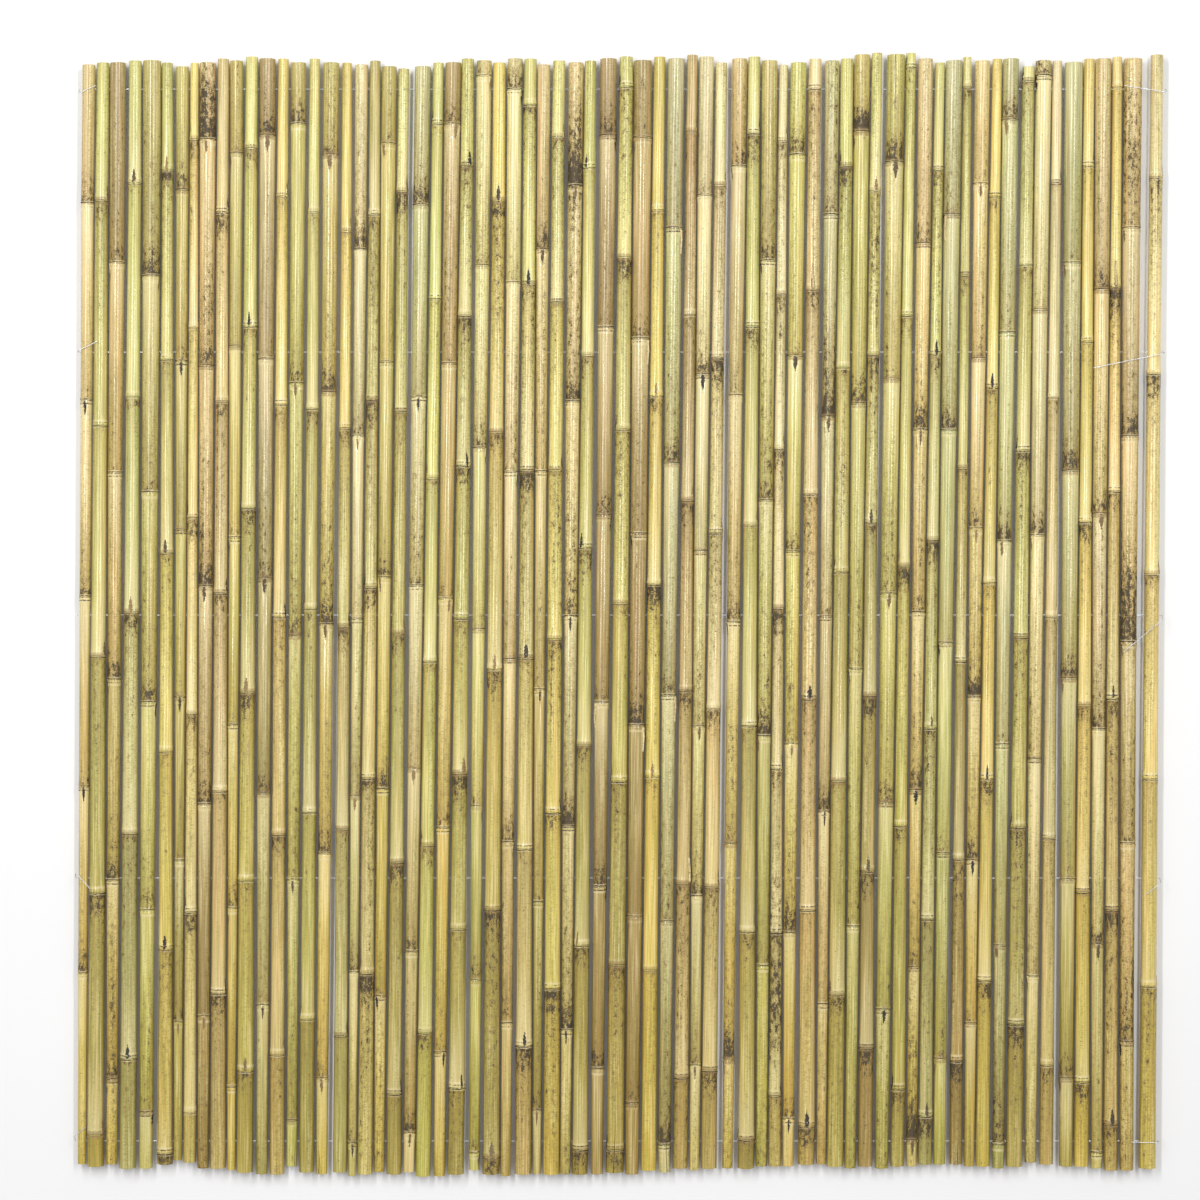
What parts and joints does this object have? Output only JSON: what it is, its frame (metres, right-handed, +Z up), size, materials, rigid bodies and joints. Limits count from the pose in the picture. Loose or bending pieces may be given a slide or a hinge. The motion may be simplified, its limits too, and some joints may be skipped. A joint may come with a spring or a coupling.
{
  "type": "bamboo privacy screen",
  "caption": "Rolled-out garden privacy screen of round bamboo canes, alternating butt and tip, drilled and threaded side by side on thin galvanised wires",
  "frame": {"origin": "Middle of the footprint of the screen lying flat, on the floor under its lowest cane", "axes": "+X across the screen to the right as seen on its front face, +Y along the canes towards the head of the screen, +Z up out of the front face"},
  "size_m": [1.7738, 1.8242, 0.032],
  "materials": {
    "bamboo": "natural unvarnished cane skin, semi-gloss where waxy, with mould specks and dark joint scars",
    "galvanised_wire": "zinc-coated drawn wire, dull silver"
  },
  "bodies": {
    "root": {"canes_01_02": "bamboo", "canes_03_04": "bamboo", "canes_05_06": "bamboo", "canes_07_08": "bamboo", "canes_09_10": "bamboo", "canes_11_12": "bamboo", "canes_13_14": "bamboo", "canes_15_16": "bamboo", "canes_17_18": "bamboo", "canes_19_20": "bamboo", "canes_21_22": "bamboo", "canes_23_24": "bamboo", "canes_25_26": "bamboo", "canes_27_28": "bamboo", "canes_29_30": "bamboo", "canes_31_32": "bamboo", "canes_33_34": "bamboo", "canes_35_36": "bamboo", "canes_37_38": "bamboo", "canes_39_40": "bamboo", "canes_41_42": "bamboo", "canes_43_44": "bamboo", "canes_45_46": "bamboo", "canes_47_48": "bamboo", "canes_49_50": "bamboo", "canes_51_52": "bamboo", "canes_53_54": "bamboo", "canes_55_56": "bamboo", "canes_57_58": "bamboo", "canes_59_60": "bamboo", "canes_61_62": "bamboo", "canes_63_64": "bamboo", "canes_65_66": "bamboo", "canes_67_68": "bamboo", "canes_69_70": "bamboo", "wire_1": "galvanised_wire", "wire_2": "galvanised_wire", "wire_3": "galvanised_wire", "wire_4": "galvanised_wire", "wire_5": "galvanised_wire"}
  },
  "joints": []
}
